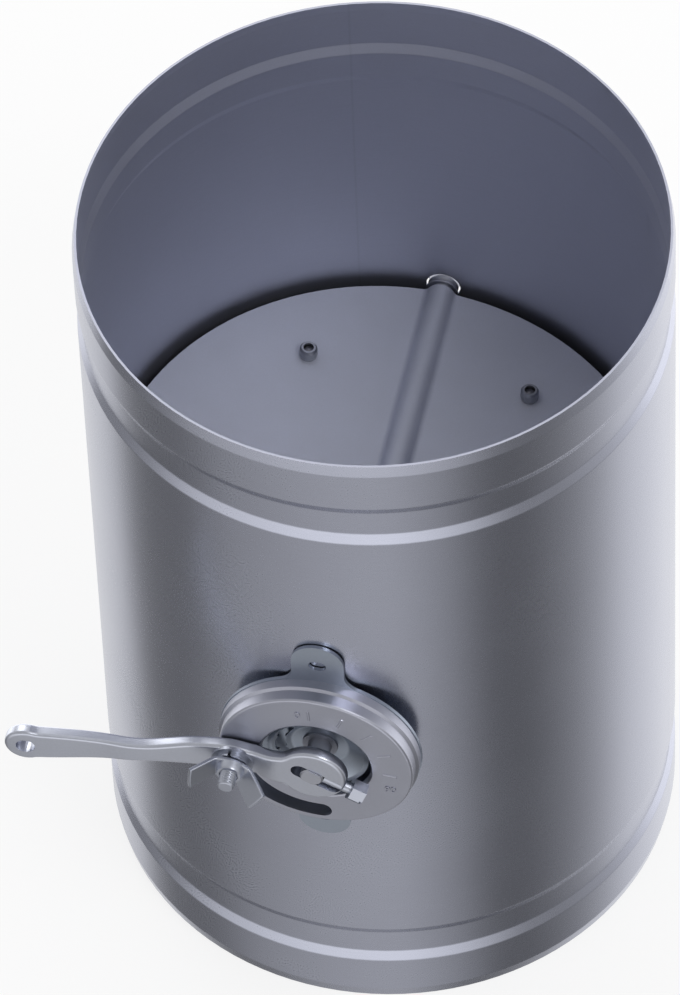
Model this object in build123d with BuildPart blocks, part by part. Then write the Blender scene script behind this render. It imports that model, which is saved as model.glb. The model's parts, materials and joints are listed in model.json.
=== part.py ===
"""Volume control damper for a round duct, 200 mm nominal.

A rolled sheet-steel casing holds a two-sheet disc blade on a cross shaft.
A locking hand quadrant on the front turns the shaft through a quarter turn.

Frame: +Z is the casing's axis, and the origin is the middle of its lower rim.
The shaft lies along Y, and the quadrant faces -Y.  All lengths are millimetres.
"""

import os
from math import cos, radians, sin, sqrt

from build123d import *

os.makedirs("parts", exist_ok=True)

# ---------------------------------------------------------------- casing
casing_radius = 99.5
casing_length = 300.0
casing_sheet = 0.8
lead_in_height = 4.5
lead_in_drop = 0.8
collar_length = 21.5
groove_flank = 4.0
groove_floor = 11.0
groove_depth = 1.5
bend_radius = 1.6

# ---------------------------------------------------------------- blade
shaft_height = casing_length / 2
shaft_radius = 4.0
running_clearance = 0.05
blade_radius = 95.0
blade_sheet = 0.8
blade_tilt = 3.5
channel_foot_radius = 2.5
rivet_offset_x = 39.0
rivet_offset_y = 57.0
rivet_hole_radius = 2.15

# ---------------------------------------------------------------- bearings
bush_radius = 6.0
bush_flange_radius = 8.0
bush_flange_thickness = 1.2
thrust_washer_radius = 7.0
thrust_washer_thickness = 0.9
retaining_groove_depth = 1.0

# ---------------------------------------------------------------- quadrant
# Distances named "level" run from the casing's axis towards the front.
plate_sheet = 1.2
plate_level = casing_radius + 0.3
plate_radius = 34.6
lug_radius = 9.0
lug_height = 43.5
lug_slot_length = 6.0
lug_slot_width = 4.5
lug_fillet = 7.0
fixing_height = 22.0

dial_level = 109.3
dial_sheet = 1.0
dial_wall_radius = 33.3
dial_bead_radius = 34.3
dial_bead_height = 3.2
dial_opening_radius = 18.8
dial_lip_depth = 2.6

track_radius = 27.4
track_width = 6.6
lever_travel = 90.0
track_margin = 3.2

# ---------------------------------------------------------------- lever
lever_thickness = 4.0
lever_back_level = dial_level + 0.4
head_step = 2.4
head_radius = 12.2
head_nose = 14.0
arm_tip = -97.0
arm_tip_radius = 7.3
arm_tip_rise = 8.2
arm_waist = -57.0
arm_waist_half_width = 4.2
clamp_half_width = 6.9
neck_half_width = 6.2
tip_hole_radius = 3.2
window_angle = -27.0
window_width = 6.0
window_start = -7.8
window_end = 11.0
shaft_flat_width = 5.8

# ---------------------------------------------------------------- locking hardware
bolt_radius = 3.0
bolt_head_radius = 4.5
bolt_head_thickness = 2.4
bolt_neck_width = 5.4
bolt_end_level = 125.8
wing_sheet = 1.5
wing_width = 8.4
wing_span = 5.6
wing_length = 12.5
wing_slope = 62.0
wing_collar_radius = 4.8
wing_collar_height = 2.6
wing_turn = 8.0
set_screw_radius = 2.0
set_screw_across_flats = 7.0
set_screw_head_length = 5.0

# ---------------------------------------------------------------- working planes
shaft_origin = (0, 0, shaft_height)
shaft_axis = Axis(shaft_origin, (0, -1, 0))
front_plane = Plane(origin=shaft_origin, x_dir=(1, 0, 0), z_dir=(0, -1, 0))
rear_plane = Plane(origin=shaft_origin, x_dir=(-1, 0, 0), z_dir=(0, 1, 0))
section_plane = Plane(origin=shaft_origin, x_dir=(1, 0, 0), z_dir=(0, 0, -1))
blade_normal = (sin(radians(blade_tilt)), 0, cos(radians(blade_tilt)))
blade_plane = Plane(origin=shaft_origin, x_dir=(0, 1, 0), z_dir=blade_normal)


def save(piece, name):
    """Label one finished piece and write it to its own STEP file."""
    piece.part.label = name
    export_step(piece.part, f"parts/{name}.step")


def ring(plane, inner_radius, outer_radius, start, end):
    """A flat ring about a plane's normal, between two levels along it."""
    with BuildPart() as piece:
        with BuildSketch(plane.offset(start)):
            Circle(outer_radius)
            Circle(inner_radius, mode=Mode.SUBTRACT)
        extrude(amount=end - start)
    return piece


def turned(outline):
    """A solid of revolution about Z from a closed outline of (radius, height) points."""
    with BuildPart() as piece:
        with BuildSketch(Plane.XZ):
            with BuildLine():
                Polyline(*outline, close=True)
            make_face()
        revolve(axis=Axis.Z)
    return piece.part


# ================================================================ casing
def casing_body(inset):
    """The casing's solid of revolution, its surface moved inwards by inset."""
    rim = casing_radius - lead_in_drop - inset
    body = casing_radius - inset
    floor = body - groove_depth
    groove_start = collar_length
    floor_start = groove_start + groove_flank
    floor_end = floor_start + groove_floor
    groove_end = floor_end + groove_flank
    lower_half = [
        (rim, 0),
        (body, lead_in_height),
        (body, groove_start),
        (floor, floor_start),
        (floor, floor_end),
        (body, groove_end),
        (body, shaft_height),
    ]
    with BuildPart() as body_of_revolution:
        with BuildSketch(Plane.XZ):
            with BuildLine() as wall:
                Polyline((0, 0), *lower_half, (0, shaft_height), (0, 0))
            make_face()
            bends = vertices().filter_by(lambda v: v.X > floor - 0.1 and 1 < v.Y < shaft_height - 1)
            fillet(bends, bend_radius)
        revolve(axis=Axis.Z)
        mirror(about=Plane.XY.offset(shaft_height))
    return body_of_revolution


casing_core = casing_body(casing_sheet)
with BuildPart() as casing_tube:
    add(casing_body(0).part)
    add(casing_core.part, mode=Mode.SUBTRACT)
    with BuildSketch(front_plane):
        Circle(bush_radius + running_clearance)
    extrude(amount=casing_radius + 1, both=True, mode=Mode.SUBTRACT)
    with BuildSketch(front_plane):
        with GridLocations(0, 2 * fixing_height, 1, 2):
            Circle(2.05)
    extrude(amount=casing_radius + 1, mode=Mode.SUBTRACT)
save(casing_tube, "casing_tube")


# ================================================================ blade
def pressed_disc(side):
    """One blade sheet with a half-round channel over the shaft; side is +1 above, -1 below."""
    channel_inner = shaft_radius + 0.1
    channel_outer = channel_inner + blade_sheet
    cross_plane = Plane(origin=shaft_origin, x_dir=blade_plane.y_dir, z_dir=(0, -1, 0))
    with BuildPart() as disc:
        with BuildSketch(cross_plane):
            with Locations((0, side * blade_sheet / 2)):
                Rectangle(2 * blade_radius, blade_sheet)
            Circle(channel_outer)
            with Locations((0, -side * channel_outer)):
                Rectangle(4 * channel_outer, 2 * channel_outer, mode=Mode.SUBTRACT)
            feet = vertices().filter_by(lambda v: abs(abs(v.X) - channel_outer) < 0.3)
            fillet(feet, channel_foot_radius)
            Circle(channel_inner, mode=Mode.SUBTRACT)
        extrude(amount=blade_radius, both=True)
        with BuildSketch(blade_plane.offset(-10)):
            Circle(blade_radius)
        extrude(amount=20, mode=Mode.INTERSECT)
        with BuildSketch(blade_plane.offset(-10)):
            with GridLocations(2 * rivet_offset_y, 2 * rivet_offset_x, 2, 2):
                Circle(rivet_hole_radius)
        extrude(amount=20, mode=Mode.SUBTRACT)
    return disc


blade_upper_disc = pressed_disc(1)
save(blade_upper_disc, "blade_upper_disc")
blade_lower_disc = pressed_disc(-1)
save(blade_lower_disc, "blade_lower_disc")


# Blind rivets: domed head below, expanded hollow tail standing above the blade.
tail_height = blade_sheet + 4.6
rivet_sleeve_outline = [
    (1.25, -blade_sheet - 1.2),
    (3.2, -blade_sheet - 1.2),
    (4.0, -blade_sheet),
    (2.05, -blade_sheet),
    (2.05, blade_sheet),
    (2.9, blade_sheet),
    (3.2, blade_sheet + 1.4),
    (3.1, tail_height - 0.8),
    (2.5, tail_height),
    (1.8, tail_height),
    (1.8, tail_height - 2.2),
    (1.25, tail_height - 3.0),
]
rivet_sleeve = turned(rivet_sleeve_outline)
with BuildPart(blade_plane) as blade_rivets:
    with GridLocations(2 * rivet_offset_y, 2 * rivet_offset_x, 2, 2):
        add(rivet_sleeve)
save(blade_rivets, "blade_rivets")

# The broken-off mandrels stay inside the sleeves.
mandrel_outline = [
    (0, -blade_sheet - 0.9),
    (1.15, -blade_sheet - 0.9),
    (1.15, tail_height - 2.9),
    (1.65, tail_height - 2.1),
    (1.5, tail_height - 1.3),
    (0, tail_height - 0.9),
]
mandrel = turned(mandrel_outline)
with BuildPart(blade_plane) as blade_rivet_mandrels:
    with GridLocations(2 * rivet_offset_y, 2 * rivet_offset_x, 2, 2):
        add(mandrel)
save(blade_rivet_mandrels, "blade_rivet_mandrels")

# ================================================================ shaft and bearings
casing_inner = casing_radius - casing_sheet
bush_flange_level = sqrt(casing_inner**2 - bush_flange_radius**2)
bush_inner_level = bush_flange_level - bush_flange_thickness
bush_end_level = casing_radius + 3.0
washer_level = bush_inner_level - 0.15 - thrust_washer_thickness
ring_level = bush_end_level + 0.25
shaft_rear_level = ring_level + 3.0
shaft_front_level = lever_back_level + head_step + lever_thickness + 0.4
flats_level = dial_level - 1.1

with BuildPart() as blade_shaft:
    with BuildSketch(rear_plane):
        Circle(shaft_radius)
    extrude(amount=shaft_rear_level)
    with BuildSketch(front_plane):
        Circle(shaft_radius)
    extrude(amount=shaft_front_level)
    chamfer(edges().group_by(Axis.Y)[0] + edges().group_by(Axis.Y)[-1], 0.6)
    with BuildSketch(rear_plane.offset(ring_level)):
        Circle(shaft_radius + 1)
        Circle(shaft_radius - retaining_groove_depth, mode=Mode.SUBTRACT)
    extrude(amount=1.2, mode=Mode.SUBTRACT)
    with BuildSketch(front_plane.offset(flats_level)):
        with Locations(Rotation(0, 0, window_angle)):
            Rectangle(4 * shaft_radius, 4 * shaft_radius)
            Rectangle(4 * shaft_radius, shaft_flat_width, mode=Mode.SUBTRACT)
    extrude(amount=20, mode=Mode.SUBTRACT)
save(blade_shaft, "blade_shaft")


def flanged_bush(plane):
    """A shouldered bearing bush whose flange bears on the casing's inner wall."""
    with BuildPart() as bush:
        with BuildSketch(plane.offset(bush_inner_level)):
            Circle(bush_flange_radius)
        extrude(amount=bush_flange_thickness)
        with BuildSketch(plane.offset(bush_flange_level)):
            Circle(bush_radius)
        extrude(amount=bush_end_level - bush_flange_level)
        with BuildSketch(plane.offset(bush_inner_level - 1)):
            Circle(shaft_radius + running_clearance)
        extrude(amount=20, mode=Mode.SUBTRACT)
    return bush


front_bearing_bush = flanged_bush(front_plane)
save(front_bearing_bush, "front_bearing_bush")
rear_bearing_bush = flanged_bush(rear_plane)
save(rear_bearing_bush, "rear_bearing_bush")

washer_end = washer_level + thrust_washer_thickness
front_thrust_washer = ring(front_plane, 4.05, thrust_washer_radius, washer_level, washer_end)
save(front_thrust_washer, "front_thrust_washer")
rear_thrust_washer = ring(rear_plane, 4.05, thrust_washer_radius, washer_level, washer_end)
save(rear_thrust_washer, "rear_thrust_washer")

with BuildPart() as rear_retaining_ring:
    with BuildSketch(rear_plane.offset(ring_level + 0.1)):
        Circle(6.6)
        Circle(shaft_radius - retaining_groove_depth + 0.05, mode=Mode.SUBTRACT)
        with Locations((0, -5)):
            Rectangle(4.6, 10, mode=Mode.SUBTRACT)
    extrude(amount=1.0)
save(rear_retaining_ring, "rear_retaining_ring")

# ================================================================ quadrant, fixed side
with BuildPart() as regulator_base_plate:
    with BuildSketch(front_plane.offset(plate_level)):
        Circle(plate_radius)
        with GridLocations(0, 2 * lug_height, 1, 2):
            Circle(lug_radius)
        Rectangle(2 * lug_radius, 2 * lug_height)
        necks = vertices().filter_by(lambda v: 30 < abs(v.Y) < 36)
        fillet(necks, lug_fillet)
        with GridLocations(0, 2 * (lug_height - 1), 1, 2):
            SlotOverall(lug_slot_length, lug_slot_width, mode=Mode.SUBTRACT)
        with GridLocations(0, 2 * fixing_height, 1, 2):
            Circle(2.05, mode=Mode.SUBTRACT)
        Circle(bush_radius + running_clearance, mode=Mode.SUBTRACT)
    extrude(amount=plate_sheet)
save(regulator_base_plate, "regulator_base_plate")

plate_front = plate_level + plate_sheet
bead_top = plate_front + dial_bead_height
inner_wall = dial_wall_radius - dial_sheet
lip_radius = dial_opening_radius
with BuildPart() as dial_cover:
    with BuildSketch(section_plane):
        with BuildLine():
            Polyline(
                (dial_bead_radius, plate_front),
                (dial_bead_radius, bead_top),
                (dial_wall_radius, bead_top + 0.7),
                (dial_wall_radius, dial_level),
                (lip_radius, dial_level),
                (lip_radius, dial_level - dial_lip_depth),
                (lip_radius + dial_sheet, dial_level - dial_lip_depth),
                (lip_radius + dial_sheet, dial_level - dial_sheet),
                (inner_wall, dial_level - dial_sheet),
                (inner_wall, plate_front),
                close=True,
            )
        make_face()
        crown = vertices().filter_by(lambda v: v.Y > dial_level - 0.01)
        fillet(crown, 0.9)
    revolve(axis=shaft_axis)
    with BuildSketch(front_plane.offset(dial_level - dial_sheet - 1)):
        with BuildLine() as track:
            CenterArc((0, 0), track_radius, 180 - track_margin, lever_travel + 2 * track_margin)
        SlotArc(track.edge(), track_width)
    extrude(amount=4, mode=Mode.SUBTRACT)
save(dial_cover, "dial_cover")

# A dished hub cup fills the dial's opening; windows in its wall lighten it.
cup_floor_level = plate_front
cup_rim_level = dial_level - 4.0
with BuildPart() as hub_cup:
    with BuildSketch(section_plane):
        with BuildLine():
            Polyline(
                (bush_radius + 0.1, cup_floor_level),
                (10.2, cup_floor_level),
                (16.2, cup_rim_level - 0.8),
                (17.4, cup_rim_level - 0.8),
                (17.4, cup_rim_level),
                (15.8, cup_rim_level),
                (9.8, cup_floor_level + 0.8),
                (bush_radius + 0.1, cup_floor_level + 0.8),
                close=True,
            )
        make_face()
        dish = vertices().filter_by(lambda v: 9 < v.X < 11)
        fillet(dish, 1.8)
    revolve(axis=shaft_axis)
    with BuildSketch(front_plane.offset(cup_floor_level - 1)):
        for angle in (150, 180, 210):
            with BuildLine() as window:
                CenterArc((0, 0), 13.2, angle - 9, 18)
            SlotArc(window.edge(), 3.4)
    extrude(amount=8, mode=Mode.SUBTRACT)
save(hub_cup, "hub_cup")

# Two rivets under the dial hold the base plate on the casing.
casing_gap = plate_level - casing_inner
fixing_outline = [
    (0, -casing_gap - 1.3),
    (3.0, -casing_gap - 1.1),
    (3.4, -casing_gap - 0.2),
    (2.0, -casing_gap - 0.05),
    (2.0, plate_sheet),
    (3.9, plate_sheet),
    (3.2, plate_sheet + 0.9),
    (0, plate_sheet + 1.2),
]
fixing_rivet = turned(fixing_outline)
with BuildPart(front_plane.offset(plate_level)) as plate_rivets:
    with GridLocations(0, 2 * fixing_height, 1, 2):
        add(fixing_rivet)
save(plate_rivets, "plate_rivets")

# ================================================================ lever
head_back = lever_back_level + head_step
half_plate = lever_thickness / 2
lever_depth = 40.0
boss_back = dial_level - 0.8
boss_radius = 11.4
window_direction = (cos(radians(window_angle)), 0, sin(radians(window_angle)))
set_screw_level = head_back + 1.3
set_screw_head_start = head_nose + 0.2
set_screw_origin = front_plane.from_local_coords((0, 0, set_screw_level))
set_screw_plane = Plane(origin=set_screw_origin, x_dir=(0, -1, 0), z_dir=window_direction)
bolt_origin = (-track_radius, 0, shaft_height)
bolt_plane = Plane(origin=bolt_origin, x_dir=(1, 0, 0), z_dir=(0, -1, 0))
wing_axis = (cos(radians(wing_turn)), 0, sin(radians(wing_turn)))
wing_normal = (sin(radians(wing_turn)), 0, -cos(radians(wing_turn)))
wing_section = Plane(origin=bolt_origin, x_dir=wing_axis, z_dir=wing_normal)
with BuildPart() as lever:
    # Edge view: the plate's bends, seen from above.
    with BuildSketch(section_plane.offset(-lever_depth / 2)):
        with BuildLine() as bends:
            Polyline(
                (head_nose + 2, head_back + half_plate),
                (-14.5, head_back + half_plate),
                (-19.5, lever_back_level + half_plate),
                (-35.0, lever_back_level + half_plate),
                (-66.0, lever_back_level + half_plate + 0.55 * arm_tip_rise),
                (arm_tip - arm_tip_radius - 2, lever_back_level + half_plate + arm_tip_rise),
            )
            fillet(bends.vertices().sort_by(Axis.X)[3:5], 5)
            fillet(bends.vertices().sort_by(Axis.X)[2:3], 30)
            fillet(bends.vertices().sort_by(Axis.X)[1:2], 60)
        trace(line_width=lever_thickness)
    extrude(amount=lever_depth)
    # Front view: pear-shaped head, waisted arm and round tip.
    with BuildSketch(front_plane.offset(100)):
        Circle(head_radius)
        with BuildLine():
            Polyline(
                (-10.0, neck_half_width + 1.6),
                (-19.0, neck_half_width),
                (-28.0, clamp_half_width),
                (-40.0, clamp_half_width - 1.2),
                (arm_waist, arm_waist_half_width),
                (arm_tip, arm_tip_radius - 0.4),
                (arm_tip, 0.4 - arm_tip_radius),
                (arm_waist, -arm_waist_half_width),
                (-40.0, 1.2 - clamp_half_width),
                (-28.0, -clamp_half_width),
                (-19.0, -neck_half_width),
                (-10.0, -neck_half_width - 1.6),
                close=True,
            )
        make_face()
        with Locations((arm_tip, 0)):
            Circle(arm_tip_radius)
    extrude(amount=40, mode=Mode.INTERSECT)
    head_rim = lever.edges().filter_by(GeomType.CIRCLE)
    # A boss behind the head reaches into the dial's opening.
    with BuildSketch(front_plane.offset(boss_back)):
        Circle(boss_radius)
    extrude(amount=head_back - boss_back)
    # Window through the head for the shaft's flats, and the thread of the set screw.
    window_middle = (window_start + window_end) / 2
    with BuildSketch(front_plane.offset(boss_back - 1)):
        with Locations(Rotation(0, 0, window_angle)):
            with Locations((window_middle, 0)):
                SlotOverall(window_end - window_start, window_width)
    extrude(amount=20, mode=Mode.SUBTRACT)
    with BuildSketch(set_screw_plane):
        Circle(set_screw_radius + 0.05)
    extrude(amount=30, mode=Mode.SUBTRACT)
    # Holes for the lock bolt and for a pull rod at the tip.
    with BuildSketch(bolt_plane.offset(lever_back_level - 1)):
        Circle(bolt_radius + 0.15)
    extrude(amount=lever_thickness + 2, mode=Mode.SUBTRACT)
    with BuildSketch(front_plane.offset(lever_back_level)):
        with Locations((arm_tip, 0)):
            Circle(tip_hole_radius)
    extrude(amount=30, mode=Mode.SUBTRACT)
save(lever, "lever")

with BuildPart() as set_screw:
    with BuildSketch(set_screw_plane.offset(shaft_radius + 0.1)):
        Circle(set_screw_radius)
    extrude(amount=set_screw_head_start - shaft_radius)
    with BuildSketch(set_screw_plane.offset(set_screw_head_start)):
        RegularPolygon(set_screw_across_flats / 2, 6, major_radius=False)
    extrude(amount=set_screw_head_length)
    with BuildSketch(set_screw_plane.offset(set_screw_head_start + set_screw_head_length - 1)):
        Rectangle(20, 1.0)
    extrude(amount=2, mode=Mode.SUBTRACT)
save(set_screw, "set_screw")

# ================================================================ locking hardware
lever_front_level = lever_back_level + lever_thickness
dial_underside = dial_level - dial_sheet
with BuildPart() as lock_bolt:
    with BuildSketch(bolt_plane.offset(dial_underside - 0.1 - bolt_head_thickness)):
        Circle(bolt_head_radius)
    extrude(amount=bolt_head_thickness)
    with BuildSketch(bolt_plane.offset(dial_underside - 0.1)):
        Rectangle(bolt_neck_width, bolt_neck_width)
    extrude(amount=dial_sheet + 0.3)
    with BuildSketch(bolt_plane.offset(dial_underside)):
        Circle(bolt_radius)
    extrude(amount=bolt_end_level - dial_underside)
    chamfer(edges().group_by(Axis.Y)[0], 0.6)
save(lock_bolt, "lock_bolt")

plain_washer_level = lever_front_level + 0.05
plain_washer_end = plain_washer_level + 1.2
plain_washer = ring(bolt_plane, bolt_radius + 0.2, 7.2, plain_washer_level, plain_washer_end)
save(plain_washer, "plain_washer")

# Split spring washer: its ends stand a little apart.
spring_washer_end = plain_washer_end + 1.4
with BuildPart() as spring_washer:
    with BuildSketch(bolt_plane.offset(plain_washer_end)):
        Circle(5.6)
        Circle(bolt_radius + 0.2, mode=Mode.SUBTRACT)
        with Locations((0, 4.5)):
            Rectangle(1.0, 4.0, rotation=30, mode=Mode.SUBTRACT)
    extrude(amount=spring_washer_end - plain_washer_end)
save(spring_washer, "spring_washer")

# Pressed wing nut: a strip folded up at both ends, with a drawn threaded collar.
wing_level = spring_washer_end + 0.1 + wing_sheet / 2
wing_rise = wing_length * sin(radians(wing_slope))
wing_reach = wing_span + wing_length * cos(radians(wing_slope))
with BuildPart() as wing_nut:
    with BuildSketch(wing_section.offset(-wing_width / 2)):
        with BuildLine() as strip:
            Polyline(
                (-wing_reach, wing_level + wing_rise),
                (-wing_span, wing_level),
                (wing_span, wing_level),
                (wing_reach, wing_level + wing_rise),
            )
            fillet(strip.vertices().filter_by(lambda v: v.Y < wing_level + 1), 2.0)
        trace(line_width=wing_sheet)
    extrude(amount=wing_width)
    tips = edges().filter_by(lambda e: abs(e.length - wing_sheet) < 0.02)
    fillet(tips, 2.6)
    with BuildSketch(bolt_plane.offset(wing_level)):
        Circle(wing_collar_radius)
    extrude(amount=wing_sheet / 2 + wing_collar_height)
    with BuildSketch(bolt_plane.offset(wing_level - 2)):
        Circle(bolt_radius + 0.08)
    extrude(amount=10, mode=Mode.SUBTRACT)
save(wing_nut, "wing_nut")
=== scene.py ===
# %% [markdown]
# # A volume control damper for a round duct
# The real object is a short rolled tube of galvanised sheet.  A round blade
# inside it turns on a cross shaft, and a hand lever on a small dial outside
# sets and locks the blade.  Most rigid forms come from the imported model, so
# this lesson is about finishes, the lever's rounded rim, small fasteners, light
# and camera.

import json
import math

import bmesh
import bpy
from mathutils import Matrix, Vector

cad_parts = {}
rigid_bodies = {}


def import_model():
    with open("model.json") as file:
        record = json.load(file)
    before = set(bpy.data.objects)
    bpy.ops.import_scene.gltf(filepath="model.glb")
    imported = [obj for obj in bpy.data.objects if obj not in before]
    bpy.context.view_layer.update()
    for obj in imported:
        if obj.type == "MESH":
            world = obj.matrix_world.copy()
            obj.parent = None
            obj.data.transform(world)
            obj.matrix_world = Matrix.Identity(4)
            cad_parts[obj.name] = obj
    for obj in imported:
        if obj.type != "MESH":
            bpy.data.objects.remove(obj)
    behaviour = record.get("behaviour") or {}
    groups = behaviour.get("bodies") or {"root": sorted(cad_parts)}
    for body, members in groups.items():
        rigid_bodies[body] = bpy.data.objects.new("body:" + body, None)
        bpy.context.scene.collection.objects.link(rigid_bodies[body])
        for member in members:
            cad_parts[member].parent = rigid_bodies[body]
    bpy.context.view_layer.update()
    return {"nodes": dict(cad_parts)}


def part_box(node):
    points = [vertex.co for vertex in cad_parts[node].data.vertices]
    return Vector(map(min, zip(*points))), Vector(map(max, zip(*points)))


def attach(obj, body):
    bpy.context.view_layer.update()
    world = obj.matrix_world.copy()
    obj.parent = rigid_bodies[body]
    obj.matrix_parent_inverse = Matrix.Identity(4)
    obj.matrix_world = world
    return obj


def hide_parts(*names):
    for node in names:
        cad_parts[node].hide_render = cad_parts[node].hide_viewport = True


for leftover in list(bpy.data.objects):
    bpy.data.objects.remove(leftover)

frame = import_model()
nodes = frame["nodes"]
millimetre = 0.001
print("pieces in the frame:", len(nodes))

# %% [markdown]
# ## Camera
# The damper stands on its lower rim and is seen from high up, a little to the
# right of the dial.  A long lens from over three metres keeps the two rims
# nearly equal in size.  A small roll and shift set how it sits in the picture.

# %% Place the camera
casing_low, casing_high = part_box("casing_tube")
casing_length = casing_high.z - casing_low.z
casing_radius = (casing_high.x - casing_low.x) / 2
shaft_height = casing_length / 2

view_azimuth = math.radians(13.85)
view_elevation = math.radians(52.59)
view_distance = 3.249
view_roll = math.radians(-2.21)

target = Vector((0, 0, shaft_height))
towards_camera = Vector(
    (
        math.sin(view_azimuth) * math.cos(view_elevation),
        -math.cos(view_azimuth) * math.cos(view_elevation),
        math.sin(view_elevation),
    )
)
level_right = Vector((0, 0, 1)).cross(towards_camera).normalized()
level_up = towards_camera.cross(level_right)
camera_right = math.cos(view_roll) * level_right + math.sin(view_roll) * level_up
camera_up = math.cos(view_roll) * level_up - math.sin(view_roll) * level_right

lens = bpy.data.cameras.new("studio_camera")
lens.lens = 344.2
lens.sensor_width = 36
lens.shift_x = -0.0442
lens.shift_y = 0.0093
lens.clip_start = 0.1
lens.clip_end = 50
camera = bpy.data.objects.new("studio_camera", lens)
bpy.context.scene.collection.objects.link(camera)
turn = Matrix((camera_right, camera_up, towards_camera)).transposed()
place = Matrix.Translation(target + view_distance * towards_camera)
camera.matrix_world = place @ turn.to_4x4()
bpy.context.scene.camera = camera
bpy.context.scene.view_settings.view_transform = "Standard"
print("camera stands", round(view_distance, 2), "m from the middle of the casing")

# %% [markdown]
# ## A small language for finishes
# Shader maths reads best as ordinary expressions.  A `Wire` is one output
# socket, and its operators add Math nodes.  A `Finish` holds one node tree and
# adds every other node in one way: its type, its settings, then its sockets.


# %% Wires and finishes
def connect(socket, value):
    """Link a wire to a socket, or set the socket's own value."""
    if isinstance(value, Wire):
        socket.id_data.links.new(value.socket, socket)
    else:
        socket.default_value = value


class Wire:
    """One output socket that can be used in an expression."""

    def __init__(self, socket):
        self.socket = socket

    def maths(self, operation, first, second=0.0):
        node = self.socket.id_data.nodes.new("ShaderNodeMath")
        node.operation = operation
        connect(node.inputs[0], first)
        connect(node.inputs[1], second)
        return Wire(node.outputs[0])

    def __add__(self, other):
        return self.maths("ADD", self, other)

    def __sub__(self, other):
        return self.maths("SUBTRACT", self, other)

    def __rsub__(self, other):
        return self.maths("SUBTRACT", other, self)

    def __mul__(self, other):
        return self.maths("MULTIPLY", self, other)

    def __abs__(self):
        return self.maths("ABSOLUTE", self)

    def atan2(self, other):
        return self.maths("ARCTAN2", self, other)

    def above(self, other):
        return self.maths("GREATER_THAN", self, other)

    __radd__ = __add__
    __rmul__ = __mul__


class Finish:
    """The node tree of one material or of the world."""

    def __init__(self, tree):
        self.tree = tree
        tree.nodes.clear()

    def node(self, kind, settings=None, sockets=None, output=0):
        """Add one node: its settings first, then its sockets' values or links."""
        made = self.tree.nodes.new(kind)
        for name, value in (settings or {}).items():
            if name == "stops":
                spread_stops(made.color_ramp, value)
            else:
                setattr(made, name, value)
        for name, value in (sockets or {}).items():
            connect(made.inputs[name], value)
        return Wire(made.outputs[output]) if made.outputs else made

    def parts(self, point):
        """The x, y and z of a vector, as three wires."""
        made = self.node("ShaderNodeSeparateXYZ", sockets={0: point}).socket.node
        return [Wire(output) for output in made.outputs]

    def point(self, x, y, z):
        """A vector from three numbers or wires."""
        return self.node("ShaderNodeCombineXYZ", sockets={0: x, 1: y, 2: z})

    def mix(self, factor, first, second):
        """Blend two colours."""
        sockets = {0: factor, 6: first, 7: second}
        return self.node("ShaderNodeMix", {"data_type": "RGBA"}, sockets, output=2)

    def vector(self, operation, first, second):
        """Work on whole vectors."""
        return self.node("ShaderNodeVectorMath", {"operation": operation}, {0: first, 1: second})

    def noise(self, point, detail=2.0, roughness=0.5):
        """Cloudy noise between 0 and 1, about one cloud per unit of the point."""
        sockets = {"Vector": point, "Scale": 1.0, "Detail": detail, "Roughness": roughness}
        return self.node("ShaderNodeTexNoise", {"noise_dimensions": "3D"}, sockets)

    def ease(self, value, low, high, start=0.0, end=1.0):
        """Go smoothly from start to end while the value goes from low to high."""
        settings = {"interpolation_type": "SMOOTHSTEP"}
        sockets = {"Value": value, "From Min": low, "From Max": high}
        sockets.update({"To Min": start, "To Max": end})
        return self.node("ShaderNodeMapRange", settings, sockets)


def spread_stops(ramp, stops):
    """Give a colour ramp its stops, each a place and a grey."""
    while len(ramp.elements) > 1:
        ramp.elements.remove(ramp.elements[-1])
    for index, (place, grey) in enumerate(stops):
        element = ramp.elements[0] if index == 0 else ramp.elements.new(place)
        element.position = place
        element.color = (grey, grey, grey, 1)


print("finishes are written as expressions on", Wire.__name__)

# %% [markdown]
# ## Light
# Bare metal shows little but what stands around it.  A light tent is white
# behind the part and dimmer in front of it, with a dark gap on each side where
# its panels meet, and those gaps give the casing its long upright bands.  The
# tent is the world itself, so it needs no stand-in objects, and the camera sees
# plain white instead of it.

# %% Set the tent's panels
world = bpy.data.worlds.new("light_tent")
bpy.context.scene.world = world
world.use_nodes = True
tent = Finish(world.node_tree)

across, along, upward = tent.parts(tent.node("ShaderNodeTexCoord"))
right_part = across * math.cos(view_azimuth) + along * math.sin(view_azimuth)
front_part = across * math.sin(view_azimuth) - along * math.cos(view_azimuth)
bearing = right_part.atan2(front_part) * (0.5 / math.pi) + 0.5


def panels(*greys):
    """A ramp round the tent: pairs of a bearing in degrees and a brightness."""
    stops = [(0.5 + degrees / 360, grey) for degrees, grey in greys]
    return tent.node("ShaderNodeValToRGB", {"stops": stops}, {0: bearing})


low_panels = panels(
    (-180, 1.00),
    (-128, 0.86),
    (-112, 0.20),
    (-84, 0.19),
    (-60, 0.42),
    (-25, 0.56),
    (2, 0.60),
    (24, 0.40),
    (40, 0.16),
    (56, 0.16),
    (76, 0.30),
    (92, 0.52),
    (108, 0.90),
    (140, 1.10),
    (180, 1.00),
)
high_panels = panels((-180, 0.95), (-90, 0.60), (0, 0.55), (90, 0.85), (150, 1.05), (180, 0.95))
level_gain = tent.ease(upward, -0.85, 0.0, 1.0, 2.6)
brighter_low = tent.vector("MULTIPLY", low_panels, tent.point(level_gain, level_gain, level_gain))
overhead = tent.ease(upward, -0.05, 0.30)
tent_light = tent.mix(overhead, brighter_low, high_panels)

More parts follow.
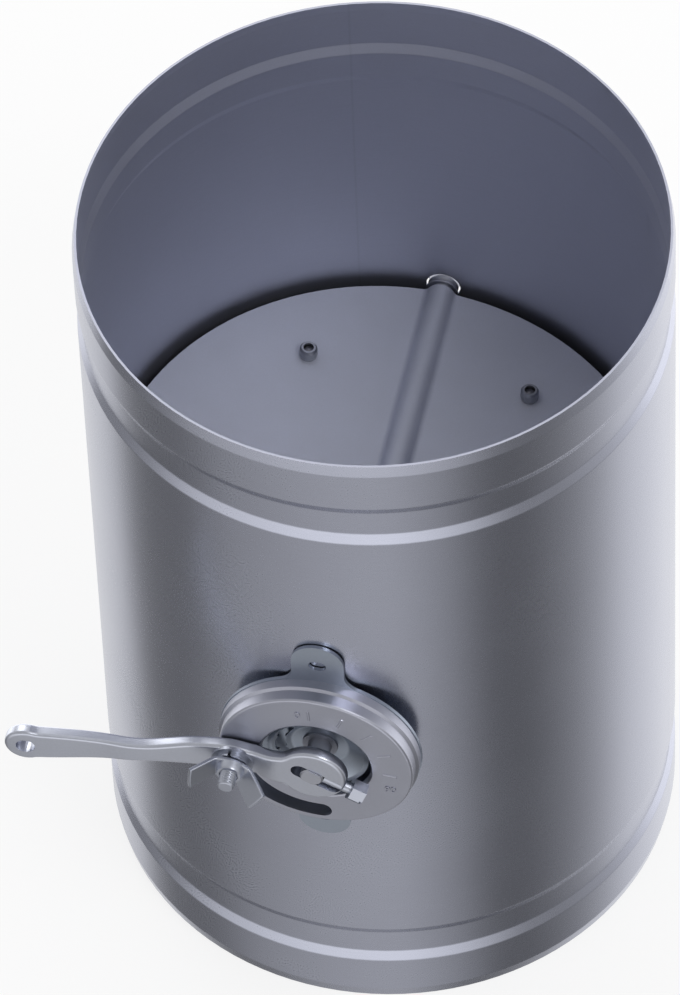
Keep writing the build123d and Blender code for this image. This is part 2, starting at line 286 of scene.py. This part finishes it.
# %% Show plain white to the camera
white = (1, 1, 1, 1)
to_camera = tent.node("ShaderNodeLightPath")
seen = tent.node("ShaderNodeBackground", sockets={"Color": white, "Strength": 1.0})
lit = tent.node("ShaderNodeBackground", sockets={"Color": tent_light, "Strength": 1.0})
surroundings = tent.node("ShaderNodeMixShader", sockets={0: to_camera, 1: lit, 2: seen})
tent.node("ShaderNodeOutputWorld", sockets={"Surface": surroundings})
print("tent panels set round", len(low_panels.socket.node.color_ramp.elements), "bearings")

# %% [markdown]
# A pale floor carries the damper and keeps its shadow.  The camera sees it
# nearly white, while every other ray meets plain paper.  Outside, metal sees the
# tent through it, so it does not blot out the panels' bands; a second patch
# under the casing stays visible to metal and is painted dark grey, a painted
# shade for the little light that reaches it there.

# %% Lay the floor
white_paper = bpy.data.materials.new("white_paper")
white_paper.use_nodes = True
paper = Finish(white_paper.node_tree)
matt = paper.node("ShaderNodeBsdfDiffuse", sockets={"Color": (0.92, 0.92, 0.92, 1)})
glow = paper.node("ShaderNodeEmission", sockets={"Color": white, "Strength": 1.0})
glow_share = paper.node("ShaderNodeLightPath") * 0.78
lifted = paper.node("ShaderNodeMixShader", sockets={0: glow_share, 1: matt, 2: glow})
paper.node("ShaderNodeOutputMaterial", sockets={"Surface": lifted})


def floor_ring(name, inner, outer, level, material):
    """A flat ring of floor round the casing's foot."""
    steps = 96
    angles = [2 * math.pi * step / steps for step in range(steps)]
    points = [(r * math.cos(a), r * math.sin(a), level) for r in (inner, outer) for a in angles]
    faces = [(k, steps + k, steps + (k + 1) % steps, (k + 1) % steps) for k in range(steps)]
    mesh = bpy.data.meshes.new(name)
    mesh.from_pydata(points, [], faces)
    mesh.materials.append(material)
    piece = bpy.data.objects.new(name, mesh)
    bpy.context.scene.collection.objects.link(piece)
    return piece


floor_level = -0.2 * millimetre
outer_floor = floor_ring("studio_floor", casing_radius - millimetre, 20.0, floor_level, white_paper)
outer_floor.visible_glossy = False
painted_shade_paper = bpy.data.materials.new("painted_shade_paper")
painted_shade_paper.use_nodes = True
painted_shade_tree = Finish(painted_shade_paper.node_tree)
# Painted shade: the paper inside the casing is dark grey, standing in for the shade there, while
# the real floor is white
painted_shade_grey = painted_shade_tree.node("ShaderNodeBsdfDiffuse", sockets={"Color": (0.30, 0.30, 0.31, 1)})
painted_shade_tree.node("ShaderNodeOutputMaterial", sockets={"Surface": painted_shade_grey})
floor_ring("painted_shade_floor", 0.0, casing_radius - millimetre, floor_level, painted_shade_paper)


# %% Hang two soft lamps
def soft_lamp(name, bearing_degrees, height, distance, width, power):
    """An area lamp on a stand, aimed at the middle of the casing."""
    lamp = bpy.data.lights.new(name, "AREA")
    lamp.shape = "DISK"
    lamp.size = width
    lamp.energy = power
    stand = bpy.data.objects.new(name, lamp)
    bpy.context.scene.collection.objects.link(stand)
    around = view_azimuth + math.radians(bearing_degrees)
    stand.location = (math.sin(around) * distance, -math.cos(around) * distance, height)
    aim = target - stand.location
    stand.rotation_euler = aim.to_track_quat("-Z", "Y").to_euler()
    return stand


soft_lamp("key_lamp", bearing_degrees=35, height=2.2, distance=1.6, width=0.9, power=14)
soft_lamp("rim_lamp", bearing_degrees=-150, height=1.8, distance=1.8, width=1.2, power=10)
print("lamps:", [thing.name for thing in bpy.data.lights])

# %% [markdown]
# ## Galvanised sheet
# The casing is hot-dip galvanised sheet: soft grey metal with a cool tint,
# fine grain along the way the sheet was rolled, and cloudy patches.  Grain that
# is longer than it is wide comes from noise on a stretched point.  It varies
# the colour, the roughness and a very shallow bump together.

# %% Start a metal finish
grain_units = 1 / millimetre


def start_metal(name):
    """A new material and the surface point in millimetres."""
    material = bpy.data.materials.new(name)
    material.use_nodes = True
    finish = Finish(material.node_tree)
    place = finish.node("ShaderNodeTexCoord", output=3)
    return material, finish, finish.vector("MULTIPLY", place, (grain_units,) * 3)


def finish_metal(finish, colour, roughness, height, depth):
    """Join colour, roughness and a height in millimetres in one metal shader."""
    bump = finish.node(
        "ShaderNodeBump",
        sockets={"Strength": 1.0, "Distance": depth * millimetre, "Height": height},
    )
    sockets = {
        "Base Color": colour,
        "Metallic": 1.0,
        "Roughness": roughness,
        "Normal": bump,
    }
    metal = finish.node("ShaderNodeBsdfPrincipled", sockets=sockets)
    finish.node("ShaderNodeOutputMaterial", sockets={"Surface": metal})


def tinted(finish, tint, shade):
    """A tint made lighter or darker by a shade around 1."""
    brightness = finish.point(shade, shade, shade)
    return finish.vector("MULTIPLY", tint, brightness)


# %% The casing's sheet
casing_sheet, skin, spot = start_metal("casing_sheet")
x, y, z = skin.parts(spot)
round_way = y.atan2(x) * (casing_radius / millimetre)
wrapped = skin.point(round_way, z, 0)
clouds = skin.noise(skin.vector("MULTIPLY", wrapped, (1 / 45, 1 / 60, 1)), detail=3)
rolled_point = skin.vector("MULTIPLY", wrapped, (1 / 14, 1 / 0.55, 1))
rolled = skin.noise(rolled_point, detail=3, roughness=0.6)
speckle = skin.noise(skin.vector("MULTIPLY", spot, (1 / 0.45,) * 3), detail=2)

facing_x, facing_y, _ = skin.parts(skin.node("ShaderNodeNewGeometry", output="True Normal"))
inside = 1 - (facing_x * x + facing_y * y).above(0)
seam_bearing = math.radians(107)
seam_offset = abs(round_way - seam_bearing * casing_radius / millimetre)
seam = skin.ease(seam_offset, 0.1, 0.6, 1, 0)

mottle = (clouds - 0.5) * 0.10 + (rolled - 0.5) * 0.08 + (speckle - 0.5) * 0.16
# inside * 0.04 paints the tube's inner wall a little lighter: painted light for the light inside
# the tube; the mottle and the darker weld seam are the sheet's own
shade = 1 + mottle - seam * 0.06 + inside * 0.04
casing_tint = (0.455, 0.470, 0.555)
rough = 0.26 + inside * 0.26 + (clouds - 0.5) * 0.08 + (speckle - 0.5) * 0.10
height = rolled * 0.5 + speckle
finish_metal(skin, tinted(skin, casing_tint, shade), rough, height, depth=0.004)
print("casing sheet nodes:", len(casing_sheet.node_tree.nodes))


# %% [markdown]
# ## Smaller finishes
# The other pieces are plated or bare steel.  They share one recipe with their
# own tint, gloss and grain size.

# %% Plated and bare steels
def plated_steel(name, tint, gloss, grain, contrast, depth):
    """A metal finish with even grain of one size."""
    material, finish, spot = start_metal(name)
    clouds = finish.noise(finish.vector("MULTIPLY", spot, (1 / 18,) * 3), detail=3)
    speckle = finish.noise(finish.vector("MULTIPLY", spot, (1 / grain,) * 3), detail=3)
    shade = 1 + (clouds - 0.5) * 0.12 + (speckle - 0.5) * contrast
    rough = 1 - gloss + (speckle - 0.5) * contrast * 0.6 + (clouds - 0.5) * 0.08
    finish_metal(finish, tinted(finish, tint, shade), rough, speckle, depth)
    return material


finishes = {
    "blade_sheet": plated_steel("blade_sheet", (0.61, 0.63, 0.71), 0.30, 0.5, 0.12, 0.004),
    "zinc_pressing": plated_steel("zinc_pressing", (0.36, 0.40, 0.47), 0.68, 0.6, 0.12, 0.003),
    "dial_zinc": plated_steel("dial_zinc", (0.40, 0.41, 0.475), 0.62, 0.5, 0.12, 0.003),
    "lever_zinc": plated_steel("lever_zinc", (0.50, 0.52, 0.59), 0.68, 0.7, 0.12, 0.004),
    "fastener_zinc": plated_steel("fastener_zinc", (0.42, 0.44, 0.505), 0.66, 0.5, 0.14, 0.004),
    "rivet_steel": plated_steel("rivet_steel", (0.30, 0.31, 0.34), 0.62, 0.5, 0.14, 0.004),
    "mandrel_steel": plated_steel("mandrel_steel", (0.16, 0.16, 0.18), 0.55, 0.4, 0.2, 0.004),
    "shaft_steel": plated_steel("shaft_steel", (0.42, 0.43, 0.48), 0.50, 0.5, 0.12, 0.004),
    "bearing_steel": plated_steel("bearing_steel", (0.36, 0.37, 0.42), 0.50, 0.5, 0.12, 0.004),
    "casing_sheet": casing_sheet,
}

# %% Give every node its finish
node_finishes = {
    "casing_tube": "casing_sheet",
    "blade_upper_disc": "blade_sheet",
    "blade_lower_disc": "blade_sheet",
    "blade_rivets": "rivet_steel",
    "blade_rivet_mandrels": "mandrel_steel",
    "blade_shaft": "shaft_steel",
    "front_bearing_bush": "bearing_steel",
    "rear_bearing_bush": "bearing_steel",
    "front_thrust_washer": "bearing_steel",
    "rear_thrust_washer": "bearing_steel",
    "rear_retaining_ring": "shaft_steel",
    "regulator_base_plate": "zinc_pressing",
    "dial_cover": "dial_zinc",
    "hub_cup": "zinc_pressing",
    "plate_rivets": "rivet_steel",
    "lever": "lever_zinc",
    "set_screw": "fastener_zinc",
    "lock_bolt": "fastener_zinc",
    "plain_washer": "fastener_zinc",
    "spring_washer": "fastener_zinc",
    "wing_nut": "fastener_zinc",
}
for name, finish_name in node_finishes.items():
    for place in range(len(nodes[name].data.materials)):
        nodes[name].data.materials[place] = finishes[finish_name]
print("finished nodes:", len(node_finishes), "of", len(nodes))

# %% [markdown]
# ## Lever, fasteners and scale
# The real lever is stamped from thick sheet, tumbled until its edges are round,
# and bent twice.  The model's lever has square edges, so a strip with the same
# outline and bends takes its place here: its rim is stepped inwards along a
# quarter circle on both faces, and every step is one loop of points.

# %% Build strips with rounded edges
bolt_low, bolt_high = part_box("lock_bolt")
dial_low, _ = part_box("dial_cover")
shaft_level = shaft_height / millimetre
track_radius = round(-(bolt_low.x + bolt_high.x) / 2 / millimetre, 1)
dial_level = round(-dial_low.y / millimetre, 1)


def front(across, up, level):
    """A point given in millimetres from the shaft, seen from the front."""
    return Vector((across, -level, shaft_level + up)) * millimetre


def closed_mesh(name, points, faces):
    """A mesh of points and faces with every face turned outwards."""
    mesh = bpy.data.meshes.new(name)
    mesh.from_pydata(points, [], faces)
    shell = bmesh.new()
    shell.from_mesh(mesh)
    bmesh.ops.remove_doubles(shell, verts=shell.verts, dist=0.001 * millimetre)
    bmesh.ops.recalc_face_normals(shell, faces=shell.faces)
    shell.to_mesh(mesh)
    shell.free()
    return mesh


def hang(name, points, faces, finish_name, body):
    """Make one object of points and faces that rides on a body of the frame."""
    mesh = closed_mesh(name, points, faces)
    mesh.materials.append(finishes[finish_name])
    mesh.shade_smooth()
    piece = bpy.data.objects.new(name, mesh)
    bpy.context.scene.collection.objects.link(piece)
    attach(piece, body)
    return piece


def rounded_strip(spine, half_widths, thickness, edge, place):
    """Points and faces of a bent strip whose rim is rounded on both faces."""
    count = len(spine)
    upper = [(run, wide) for (run, _), wide in zip(spine, half_widths)]
    ring = upper + [(run, -wide) for run, wide in upper[-2:0:-1]]
    total = len(ring)
    quarter = [math.radians(angle) for angle in (0, 22.5, 45, 67.5, 90)]
    back_steps = [(edge * (1 - math.sin(a)), edge * (1 - math.cos(a))) for a in quarter]
    front_steps = [(inset, thickness - depth) for inset, depth in reversed(back_steps)]
    steps = back_steps + front_steps

    points = []
    for inset, depth in steps:
        for index, (run, wide) in enumerate(ring):
            before = Vector(ring[index - 1])
            after = Vector(ring[(index + 1) % total])
            along_rim = (after - before).normalized()
            inward = Vector((along_rim.y, -along_rim.x)) * inset
            station = index if index < count else total - index
            near = spine[max(station - 1, 0)]
            far = spine[min(station + 1, count - 1)]
            slope = Vector((far[0] - near[0], far[1] - near[1])).normalized()
            rise = spine[station][1] + slope.x * depth
            shift = run + inward.x - slope.y * depth
            points.append(place(shift, wide + inward.y, rise + inward.x * slope.y))

    faces = []
    for layer in range(len(steps) - 1):
        for index in range(total):
            following = (index + 1) % total
            low, high = layer * total, (layer + 1) * total
            faces.append((low + index, high + index, high + following, low + following))
    for start, turned in ((0, False), ((len(steps) - 1) * total, True)):
        for station in range(count - 1):
            opposite = [(total - place_along) % total for place_along in (station + 1, station)]
            corners = list(dict.fromkeys([station, station + 1] + opposite))
            face = [start + corner for corner in corners]
            faces.append(tuple(reversed(face)) if turned else tuple(face))
    return points, faces


def stations(start, end, count):
    """Places between two ends, closer together near the ends."""
    middle, reach = (start + end) / 2, (end - start) / 2
    return [middle - reach * math.cos(math.pi * k / (count - 1)) for k in range(count)]


def smooth_between(value, knots):
    """A value carried smoothly from knot to knot."""
    for (start, first), (end, last) in zip(knots, knots[1:]):
        if value <= end:
            part = max(0.0, (value - start) / (end - start))
            return first + (last - first) * part * part * (3 - 2 * part)
    return knots[-1][1]


# %% Turned forms, threads and cutters
def turned(profile, place, steps=32, pitch=None, thread_depth=0.0):
    """Points and faces of a turned form; a pitch cuts a thread on its flagged rings."""
    points = []
    for radius, level, threaded in profile:
        for step in range(steps):
            angle = 2 * math.pi * step / steps
            phase = (level / pitch - step / steps) % 1.0 if threaded else 0.0
            cut = thread_depth * (1 - abs(2 * phase - 1)) if threaded else 0.0
            reach = radius - cut
            points.append(place(reach * math.cos(angle), reach * math.sin(angle), level))
    faces = []
    for ring in range(len(profile) - 1):
        for step in range(steps):
            following = (step + 1) % steps
            low, high = ring * steps, (ring + 1) * steps
            faces.append((low + step, low + following, high + following, high + step))
    faces.append(tuple(reversed(range(steps))))
    faces.append(tuple(range((len(profile) - 1) * steps, len(profile) * steps)))
    return points, faces


def cut_through(piece, outline, low, high):
    """Cut an outline, given seen from the front, through a piece."""
    count = len(outline)
    points = [front(across, up, level) for level in (low, high) for across, up in outline]
    faces = [(k, (k + 1) % count, count + (k + 1) % count, count + k) for k in range(count)]
    faces += [tuple(reversed(range(count))), tuple(range(count, 2 * count))]
    cutter = bpy.data.objects.new("cutter", closed_mesh("cutter", points, faces))
    bpy.context.scene.collection.objects.link(cutter)
    hole = piece.modifiers.new("hole", "BOOLEAN")
    hole.operation = "DIFFERENCE"
    hole.solver = "FAST"
    hole.object = cutter
    bpy.context.view_layer.update()
    evaluated = piece.evaluated_get(bpy.context.evaluated_depsgraph_get())
    finished = bpy.data.meshes.new_from_object(evaluated)
    piece.modifiers.clear()
    piece.data = finished
    bpy.data.objects.remove(cutter)


def slot_outline(middle, length, width, turn_degrees, steps=12):
    """A round-ended slot's outline."""
    turn = math.radians(turn_degrees)
    half = (length - width) / 2
    outline = []
    for side in (1, -1):
        for step in range(steps + 1):
            angle = math.pi * step / steps - math.pi / 2 + (0 if side > 0 else math.pi)
            x = side * half + width / 2 * math.cos(angle)
            y = width / 2 * math.sin(angle)
            across = x * math.cos(turn) - y * math.sin(turn)
            up = x * math.sin(turn) + y * math.cos(turn)
            outline.append((middle[0] + across, middle[1] + up))
    return outline


def settle(piece):
    """Keep cut edges crisp and flat faces flat."""
    piece.data.set_sharp_from_angle(angle=math.radians(40))
    weighted = piece.modifiers.new("even_faces", "WEIGHTED_NORMAL")
    weighted.keep_sharp = True


print("form builders ready:", [f.__name__ for f in (rounded_strip, turned, cut_through)])

# %% Stamp the lever
lever_back = dial_level + 0.4
head_back = lever_back + 1.6
head_radius = 11.8
tip_across = -97.0
tip_radius = 7.3
lever_thickness = 4.6
lever_edge = 1.3
head_joins = -8.0
lever_bends = [
    (tip_across - tip_radius, 117.7),
    (-66.0, 114.0),
    (-35.0, lever_back),
    (-20.5, lever_back),
    (-12.5, head_back),
    (head_radius, head_back),
]
lever_waist = [(tip_across, 6.6), (-57, 4.2), (-40, 5.7), (-28, 6.9), (-19, 5.6), (head_joins, 7.0)]


def circle_half_width(across, middle, radius):
    return math.sqrt(max(0.0, radius**2 - (across - middle) ** 2))


arm_runs = stations(tip_across - tip_radius, 0, 70)[:-1]
nose_runs = stations(-head_radius, head_radius, 41)[20:]
lever_runs = arm_runs + nose_runs
lever_spine = [(run, smooth_between(run, lever_bends)) for run in lever_runs]
lever_half_widths = [
    max(
        circle_half_width(run, tip_across, tip_radius),
        circle_half_width(run, 0, head_radius),
        smooth_between(run, lever_waist) if tip_across < run < head_joins else 0.0,
    )
    for run in lever_runs
]
points, faces = rounded_strip(
    lever_spine, lever_half_widths, lever_thickness, lever_edge, front
)
stamped_lever = hang("stamped_lever", points, faces, "lever_zinc", "blade")
behind_lever, before_lever = 100, 130
shaft_window = slot_outline((1.6, -0.8), length=18.8, width=6.0, turn_degrees=-27)
tip_hole = slot_outline((tip_across, 0), length=6.5, width=6.4, turn_degrees=0)
cut_through(stamped_lever, shaft_window, behind_lever, before_lever)
cut_through(stamped_lever, tip_hole, behind_lever, before_lever)
settle(stamped_lever)
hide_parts("lever")
print("lever points:", len(stamped_lever.data.vertices))

# %% [markdown]
# ## Lock bolt and wing nut
# The lever is locked by a threaded stud and a pressed wing nut.  The stud's
# thread is a helix cut in a turned form, one millimetre a turn.  The nut is a
# folded strip with two wings and a drawn collar.

# %% Cut the stud's thread
bolt_end = round(-bolt_low.y / millimetre, 1)
bolt_radius = 3.0


def at_bolt(across, up, level):
    """A point given from the lock bolt's own axis."""
    return front(across - track_radius, up, level)


thread_pitch = 1.0
thread_depth = 0.55
thread_start = 113.0
ring_step = thread_pitch / 8
head_rings = [
    (3.6, 105.9, False),
    (4.5, 106.3, False),
    (4.5, 108.2, False),
    (bolt_radius, 108.2, False),
]
thread_rings = [(bolt_radius, thread_start + ring_step * k, True) for k in range(98)]
end_rings = [(bolt_radius - 0.5, bolt_end - 0.3, False), (bolt_radius - 0.9, bolt_end, False)]
stud_profile = head_rings + thread_rings + end_rings
points, faces = turned(stud_profile, at_bolt, pitch=thread_pitch, thread_depth=thread_depth)
threaded_stud = hang("threaded_stud", points, faces, "fastener_zinc", "blade")
settle(threaded_stud)
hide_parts("lock_bolt")

# %% Fold the wing nut
left_turn, right_turn = -4.0, -34.0
wing_slope = math.radians(46)
wing_base = 116.45
wing_sheet = 1.5
wing_edge = 0.45
strip_half_length = 16.5
wing_runs = stations(-strip_half_length, strip_half_length, 73)


def at_nut(across, up, level):
    """A point of the nut, turned about the bolt's axis; use has bent its wings a little."""
    wing_turn = math.radians(smooth_between(across, [(-5.0, left_turn), (5.0, right_turn)]))
    turned_across = across * math.cos(wing_turn) - up * math.sin(wing_turn)
    turned_up = across * math.sin(wing_turn) + up * math.cos(wing_turn)
    return at_bolt(turned_across, turned_up, level)


def wing_path(length):
    """Where the strip is after a length from its middle: out, then up the wing."""
    steps = 40
    out, rise = 0.0, 0.0
    for step in range(steps):
        walked = abs(length) * (step + 0.5) / steps
        lean = wing_slope * smooth_between(walked, [(3.6, 0.0), (7.2, 1.0)])
        out += abs(length) / steps * math.cos(lean)
        rise += abs(length) / steps * math.sin(lean)
    return math.copysign(out, length), wing_base + rise


wing_spine = [wing_path(length) for length in wing_runs]
corner_stretch = 1.6
wing_half_widths = [
    min(
        smooth_between(abs(length), [(5, 4.6), (14, 4.9)]),
        circle_half_width(length, 0, strip_half_length) * corner_stretch,
    )
    for length in wing_runs
]
points, faces = rounded_strip(wing_spine, wing_half_widths, wing_sheet, wing_edge, at_nut)
folded_wings = hang("folded_wings", points, faces, "fastener_zinc", "wing_nut")
settle(folded_wings)
collar_profile = [
    (5.0, wing_base + 1.3, False),
    (4.75, wing_base + 2.2, False),
    (4.45, wing_base + 3.6, False),
    (4.1, wing_base + 4.1, False),
    (3.3, wing_base + 4.2, False),
    (3.1, wing_base + 3.6, False),
]
points, faces = turned(collar_profile, at_bolt, steps=40)
drawn_collar = hang("drawn_collar", points, faces, "fastener_zinc", "wing_nut")
settle(drawn_collar)
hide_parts("wing_nut")
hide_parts("wing_nut")
print("wing nut pieces:", folded_wings.name, drawn_collar.name)

# %% [markdown]
# ## The dial's scale
# The dial is a pressing, and its scale is struck into it from behind: five low
# ridges over a little more than the quarter turn, and a number at each end.

# %% Strike the scale
ridge_height = 0.3


def ridge(name, angle_degrees, inner, outer, half_width):
    """A low struck ridge that points at the shaft, with sloping sides."""
    angle = math.radians(angle_degrees)
    radial = Vector((math.cos(angle), math.sin(angle)))
    aside = Vector((-radial.y, radial.x))
    points = []
    foot = (0.25, dial_level - 0.05)
    side_step = (0.12, dial_level + 0.2)
    crest = (0.0, dial_level + ridge_height)
    for grow, level in (foot, side_step, crest):
        for reach, side in ((inner, -1), (outer, -1), (outer, 1), (inner, 1)):
            run = reach + (grow if reach == outer else -grow)
            spot = radial * run + aside * side * (half_width + grow)
            points.append(front(spot.x, spot.y, level))
    faces = [(3, 2, 1, 0), (8, 9, 10, 11)]
    for low in (0, 4):
        for k in range(4):
            following = (k + 1) % 4
            faces.append((low + k, low + following, low + 4 + following, low + 4 + k))
    return hang(name, points, faces, "dial_zinc", "casing")


scale_start, scale_step = -4, 24.5
scale_angles = [scale_start + scale_step * step for step in range(5)]
for step, angle in enumerate(scale_angles):
    settle(ridge(f"scale_ridge_{step}", angle, inner=23.0, outer=27.6, half_width=0.22))


def struck_number(name, digits, across, up, size):
    """A small raised number that faces the front."""
    curve = bpy.data.curves.new(name, "FONT")
    curve.body = digits
    curve.size = size * millimetre
    curve.extrude = 0.15 * millimetre
    curve.bevel_depth = 0.06 * millimetre
    curve.align_x = "CENTER"
    curve.align_y = "CENTER"
    lettering = bpy.data.objects.new(name, curve)
    bpy.context.scene.collection.objects.link(lettering)
    bpy.context.view_layer.update()
    mesh = bpy.data.meshes.new_from_object(lettering)
    bpy.data.objects.remove(lettering)
    stand_up = Matrix.Rotation(math.radians(90), 4, "X")
    mesh.transform(Matrix.Translation(front(across, up, dial_level + 0.1)) @ stand_up)
    mesh.materials.clear()
    mesh.materials.append(finishes["dial_zinc"])
    number = bpy.data.objects.new(name, mesh)
    bpy.context.scene.collection.objects.link(number)
    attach(number, "casing")
    return number


struck_number("number_open", "0", -5.6, 24.6, 4.4)
struck_number("number_shut", "90", 25.4, -9.5, 4.0)
print("scale ridges at", [round(angle) for angle in scale_angles], "degrees")

# %% [markdown]
# ## Rear bearing
# Seen from above, the far end of the shaft sits in a small bush close to the
# wall, with a thin washer before it.  Both are turned rings with broken edges.

# %% Turn the small rings at the far end
def small_ring(name, node, radius, body):
    """A small turned ring that fills a node's own depth."""
    low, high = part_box(node)
    near, far = -high.y / millimetre, -low.y / millimetre
    edge = 0.25 * (far - near)
    profile = [
        (radius - edge, near, False),
        (radius, near + edge, False),
        (radius, far - edge, False),
        (radius - edge, far, False),
    ]
    points, faces = turned(profile, front, steps=40)
    ring = hang(name, points, faces, "bearing_steel", body)
    settle(ring)
    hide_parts(node)


small_ring("rear_bush_ring", "rear_bearing_bush", 5.4, "casing")
small_ring("rear_washer_ring", "rear_thrust_washer", 5.6, "blade")
